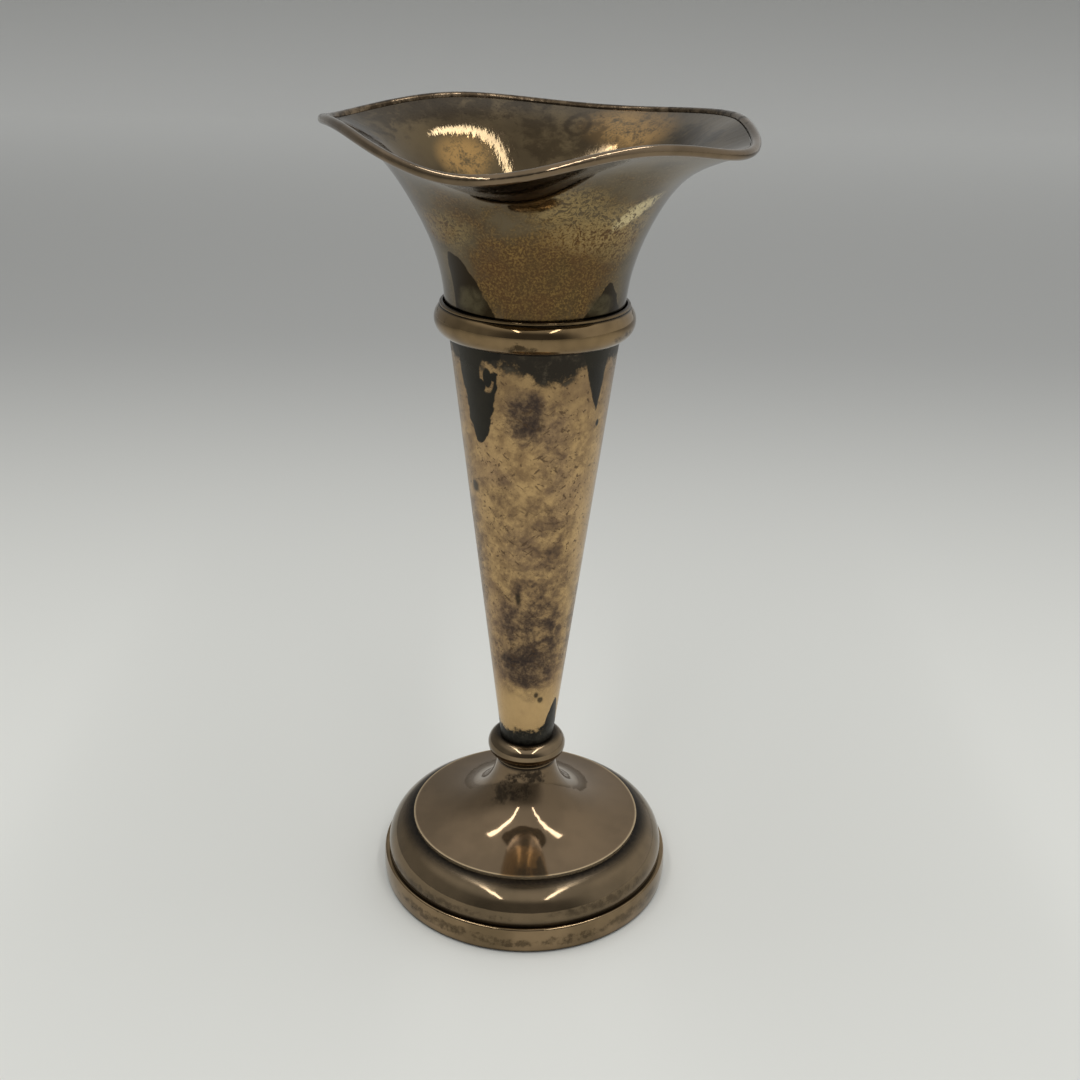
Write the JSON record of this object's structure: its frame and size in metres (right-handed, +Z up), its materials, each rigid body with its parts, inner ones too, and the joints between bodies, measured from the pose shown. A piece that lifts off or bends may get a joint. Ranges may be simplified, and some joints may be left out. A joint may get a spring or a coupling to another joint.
{
  "type": "trumpet vase",
  "caption": "Tall tarnished silver trumpet vase: a wavy flared bell on a half-round collar, a plain tapering cone, a knop and a weighted domed foot.",
  "frame": {"origin": "middle of the felt's underside, where the vase's axis meets the table", "axes": "+Z up along the axis of the cone, -Y towards the camera of the picture, +X to the picture's right"},
  "size_m": [0.0875, 0.0909, 0.1803],
  "materials": {
    "bell_metal": "polished silver, tarnished olive brown",
    "rim_metal": "polished silver, tarnished copper brown",
    "moulding_metal": "polished silver, tarnished dark brown",
    "cone_metal": "satin silver, tarnished tan and purple",
    "foot_metal": "polished silver, tarnished bronze brown",
    "filler": "matt, hidden",
    "baize": "felted wool"
  },
  "bodies": {
    "root": {"bell": "bell_metal", "rim_wire": "rim_metal", "collar_moulding": "moulding_metal", "stem_cone": "cone_metal", "cone_floor": "cone_metal", "knop_ring": "moulding_metal", "foot_dome": "foot_metal", "foot_cushion": "foot_metal", "foot_wire": "foot_metal", "loading": "filler", "base_felt": "baize"}
  },
  "joints": []
}
